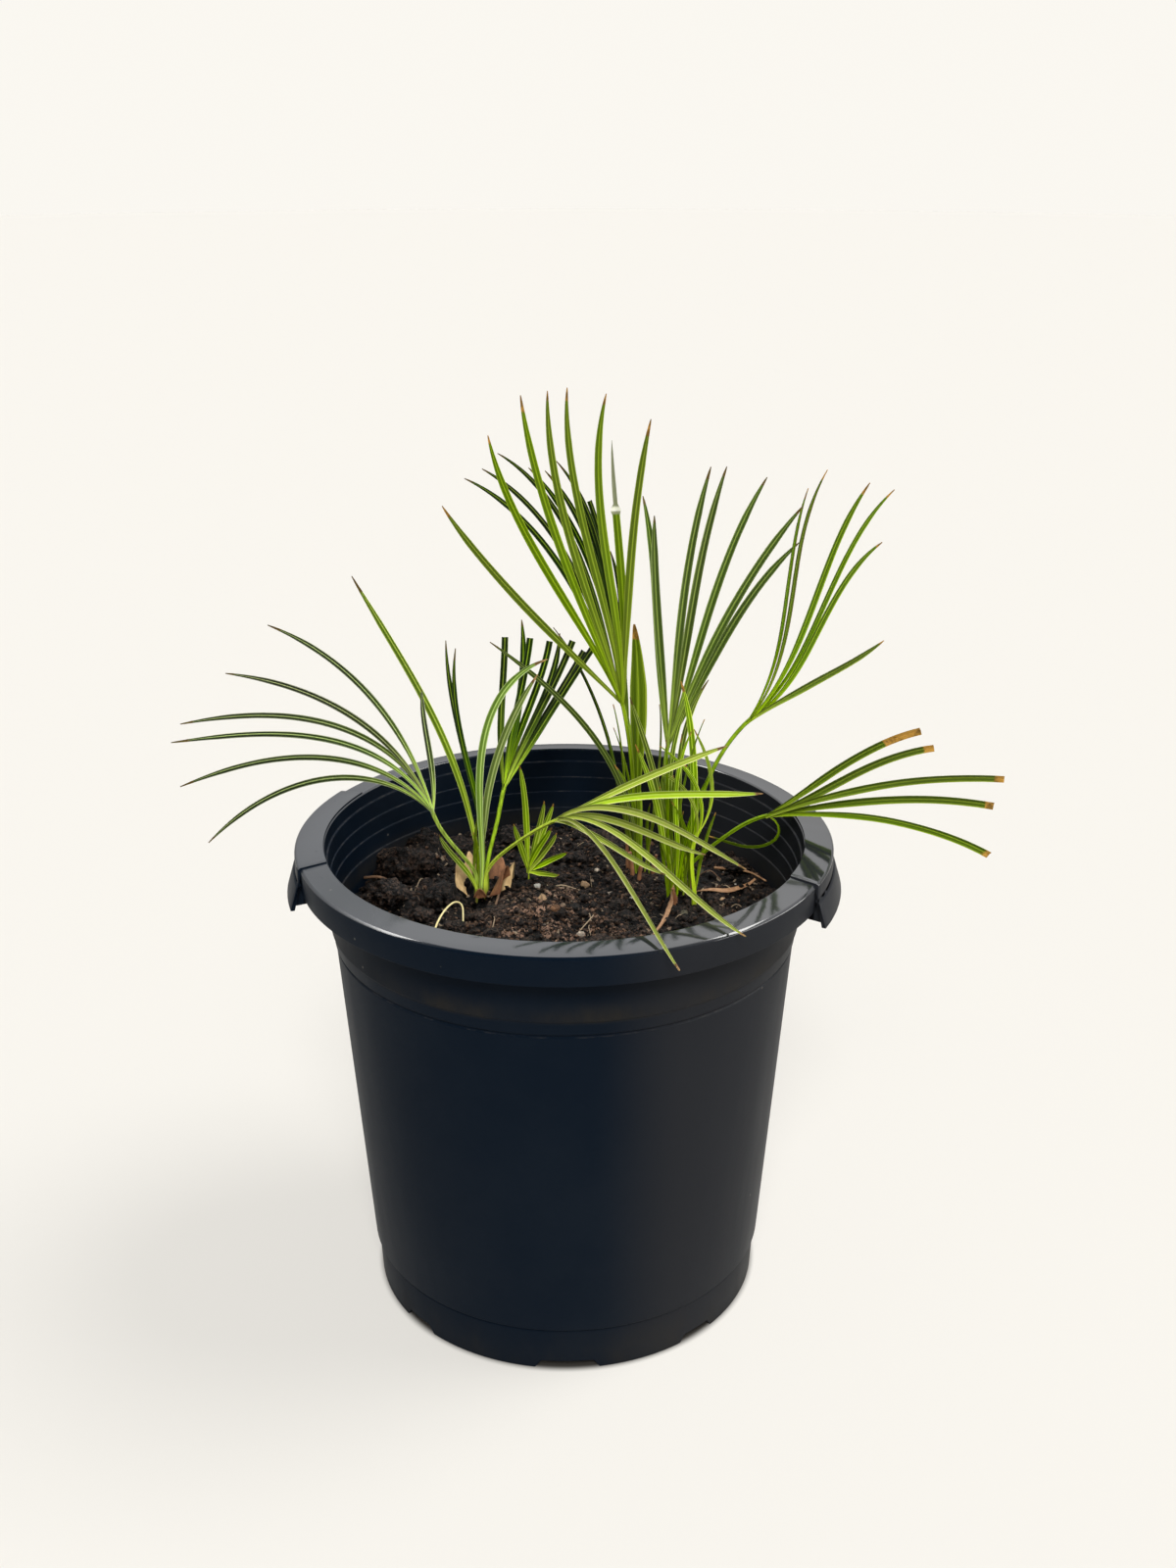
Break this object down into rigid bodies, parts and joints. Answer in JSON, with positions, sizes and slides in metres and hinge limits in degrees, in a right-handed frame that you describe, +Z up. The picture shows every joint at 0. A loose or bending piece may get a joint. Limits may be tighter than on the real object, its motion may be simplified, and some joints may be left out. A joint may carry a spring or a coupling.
{
  "type": "potted palm",
  "caption": "Clump of young fan palms with narrow fingered leaves, rooted in lumpy potting mix in a black plastic nursery pot with a broad rim and moulded grip handles.",
  "frame": {"origin": "centre of the pot's foot, in the plane that it stands on", "axes": "+Z up along the pot's axis; the grip handles lie towards +X and -X; -Y is the front, the side that the picture shows"},
  "size_m": [0.4187, 0.3144, 0.4821],
  "materials": {
    "pot_plastic": "semi-matte moulded plastic, dark navy charcoal",
    "potting_mix": "damp lumpy bark and peat mix, matte",
    "leaf_mid": "satin leaf, mid green",
    "leaf_dark": "satin leaf, dark green",
    "leaf_bright": "satin leaf, bright yellow green",
    "leaf_pale": "satin leaf, pale greyish green",
    "dry_leaf": "dry papery leaf, tan",
    "pale_root": "pale bare root, matte"
  },
  "bodies": {
    "root": {"pot": "pot_plastic", "soil": "potting_mix", "frond_left_fan": "leaf_mid", "frond_left_arching": "leaf_mid", "frond_right_dark": "leaf_mid", "frond_right_high": "leaf_mid", "frond_right_low": "leaf_mid", "seedling": "leaf_mid", "leaf_left_tall": "leaf_mid", "leaf_left_stub": "leaf_mid", "leaf_sheaf_1": "leaf_mid", "leaf_sheaf_2": "leaf_mid", "frond_left_cut": "leaf_dark", "frond_top_dark": "leaf_dark", "leaf_left_pair": "leaf_dark", "leaf_right_slim": "leaf_dark", "leaf_sheaf_3": "leaf_dark", "leaf_sheaf_4": "leaf_dark", "leaf_sheaf_5": "leaf_dark", "frond_top_bright": "leaf_bright", "leaf_right_thin": "leaf_bright", "spear_leaf": "leaf_bright", "leaf_sheaf_6": "leaf_bright", "frond_right_curled": "leaf_pale", "leaf_left_folded": "leaf_pale", "leaf_left_pale": "leaf_pale", "husk_left": "dry_leaf", "dry_leaf_front": "dry_leaf", "dry_leaf_side": "dry_leaf", "dry_stalk": "dry_leaf", "root_loop": "pale_root"}
  },
  "joints": []
}
